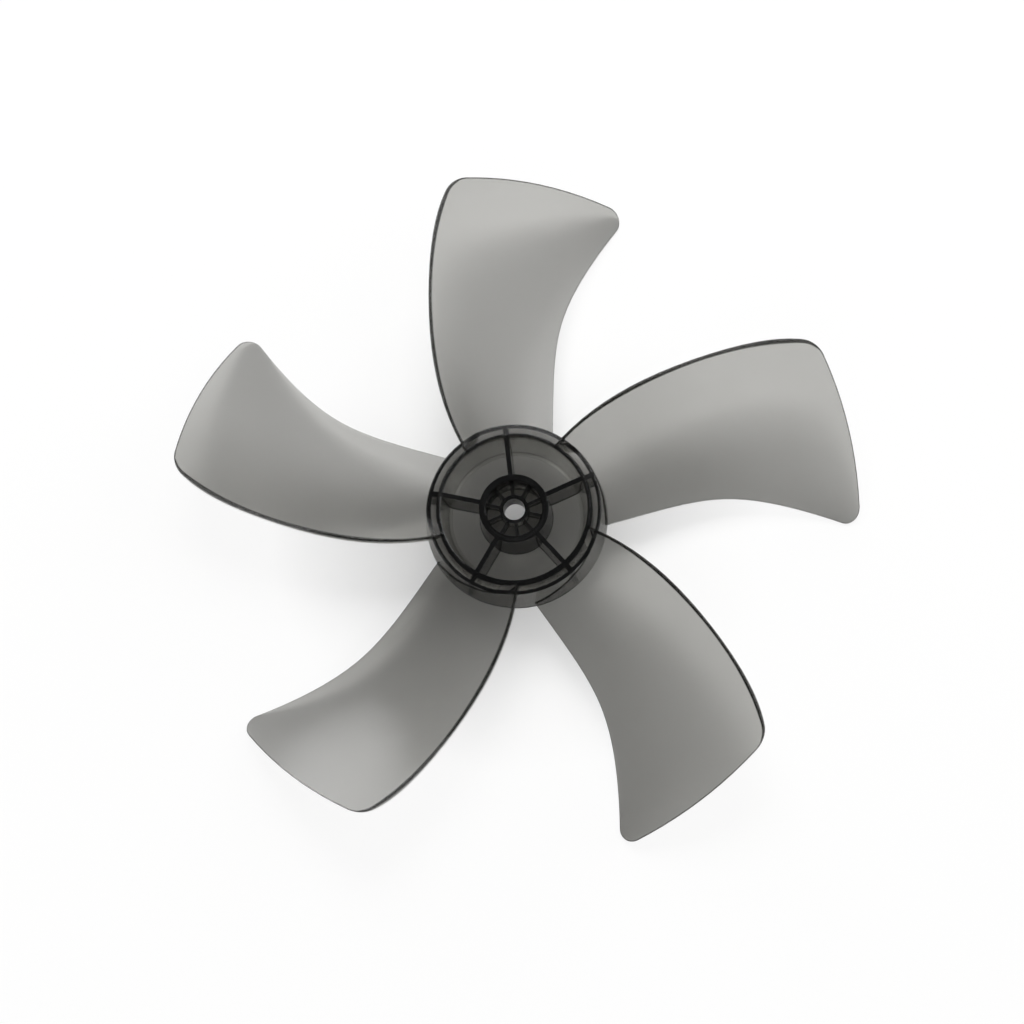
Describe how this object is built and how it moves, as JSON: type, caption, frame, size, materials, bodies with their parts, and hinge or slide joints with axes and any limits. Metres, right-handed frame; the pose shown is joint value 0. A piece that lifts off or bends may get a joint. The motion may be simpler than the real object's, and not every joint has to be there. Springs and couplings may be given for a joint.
{
  "type": "pedestal fan blade",
  "caption": "One-piece moulded axial fan blade in smoke-grey translucent plastic, with a ribbed open hub and a central bore that slides on a fan motor's shaft.",
  "frame": {"origin": "centre of the shaft bore, where its wall begins at the rear mouth inside the hub", "axes": "+Z along the bore towards the motor, the way the shaft leaves; the blades sweep around Z"},
  "size_m": [0.2978, 0.2911, 0.0452],
  "materials": {
    "smoke_plastic": "smooth glossy translucent smoke grey"
  },
  "bodies": {
    "root": {"fan_blade": "smoke_plastic"}
  },
  "joints": []
}
